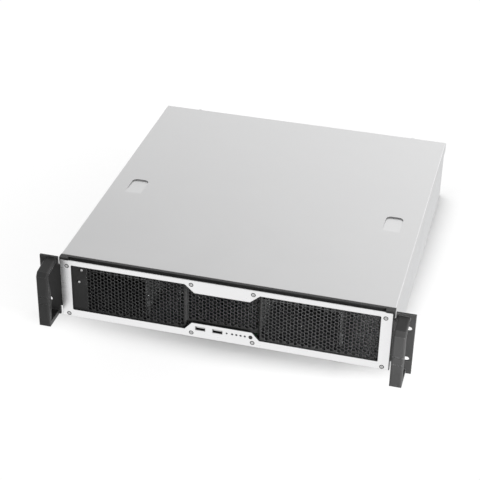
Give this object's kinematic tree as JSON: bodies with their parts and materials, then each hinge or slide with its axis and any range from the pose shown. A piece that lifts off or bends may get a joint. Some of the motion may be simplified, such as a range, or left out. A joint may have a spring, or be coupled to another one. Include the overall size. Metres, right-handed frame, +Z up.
{
  "type": "rackmount server case",
  "caption": "Empty 2U rackmount server case with rack handles, hexagonal front mesh, front controls, fans and a sliding top cover.",
  "frame": {"origin": "middle of the whole case's footprint, on the surface that it rests on", "axes": "front faces -Y, +X to the right of someone facing the front, +Z up"},
  "size_m": [0.4826, 0.4966, 0.088],
  "materials": {
    "case_steel": "galvanised, satin",
    "cover_steel": "galvanised, satin",
    "screw_steel": "bright zinc",
    "thumb_steel": "knurled nickel",
    "front_black": "black powder coat",
    "mesh_black": "black powder coat",
    "bezel_silver": "satin anodised",
    "handle_black": "satin black coat on a casting",
    "socket_metal": "bright",
    "board_laminate": "laminate",
    "control_black": "moulded",
    "light_lens": "smoked clear",
    "fan_plastic": "moulded",
    "standoff_brass": "turned"
  },
  "bodies": {
    "case": {"base_pan": "case_steel", "rear_panel": "case_steel", "fan_wall": "case_steel", "drive_cage_left": "case_steel", "drive_cage_right": "case_steel", "psu_rail": "case_steel", "io_bracket": "case_steel", "slot_cover_1": "case_steel", "slot_cover_2": "case_steel", "slot_cover_3": "case_steel", "slot_cover_4": "case_steel", "slot_cover_5": "case_steel", "slot_cover_6": "case_steel", "slot_cover_7": "case_steel", "bezel_screws": "screw_steel", "mesh_screws": "screw_steel", "handle_screws": "front_black", "io_screws": "screw_steel", "fan_screws": "screw_steel", "cage_screws": "screw_steel", "slot_cover_screws": "screw_steel", "front_frame": "front_black", "mesh_grille": "mesh_black", "bezel_plate": "bezel_silver", "handle_left": "handle_black", "handle_right": "handle_black", "usb_socket_left": "socket_metal", "usb_socket_right": "socket_metal", "front_io_board": "board_laminate", "power_switch": "control_black", "reset_switch": "control_black", "board_standoffs": "standoff_brass", "status_light_1": "light_lens", "status_light_2": "light_lens", "status_light_3": "light_lens", "status_light_4": "light_lens", "fan_frame_1": "fan_plastic", "fan_frame_2": "fan_plastic", "fan_frame_3": "fan_plastic"},
    "cover": {"top_cover": "cover_steel", "cover_thumbscrews": "thumb_steel"},
    "power_button": {"power_button": "control_black"},
    "reset_button": {"reset_button": "control_black"},
    "fan_rotor_1": {"fan_rotor_1": "fan_plastic"},
    "fan_rotor_2": {"fan_rotor_2": "fan_plastic"},
    "fan_rotor_3": {"fan_rotor_3": "fan_plastic"}
  },
  "joints": [
    {"name": "cover_slide", "type": "slide", "parent": "case", "child": "cover", "axis": [0, 1, 0], "range_m": [0, 0.46]},
    {"name": "power_press", "type": "slide", "parent": "case", "child": "power_button", "axis": [0, 1, 0], "range_m": [0, 0.001], "stiffness_N_per_m": 400, "springref_m": -0.001},
    {"name": "reset_press", "type": "slide", "parent": "case", "child": "reset_button", "axis": [0, 1, 0], "range_m": [0, 0.001], "stiffness_N_per_m": 300, "springref_m": -0.001},
    {"name": "fan_spin_1", "type": "hinge", "parent": "case", "child": "fan_rotor_1", "pos_m": [-0.156, -0.02735, 0.0426], "axis": [0, 1, 0], "continuous": true},
    {"name": "fan_spin_2", "type": "hinge", "parent": "case", "child": "fan_rotor_2", "pos_m": [-0.054, -0.02735, 0.0426], "axis": [0, 1, 0], "continuous": true},
    {"name": "fan_spin_3", "type": "hinge", "parent": "case", "child": "fan_rotor_3", "pos_m": [0.048, -0.02735, 0.0426], "axis": [0, 1, 0], "continuous": true}
  ]
}
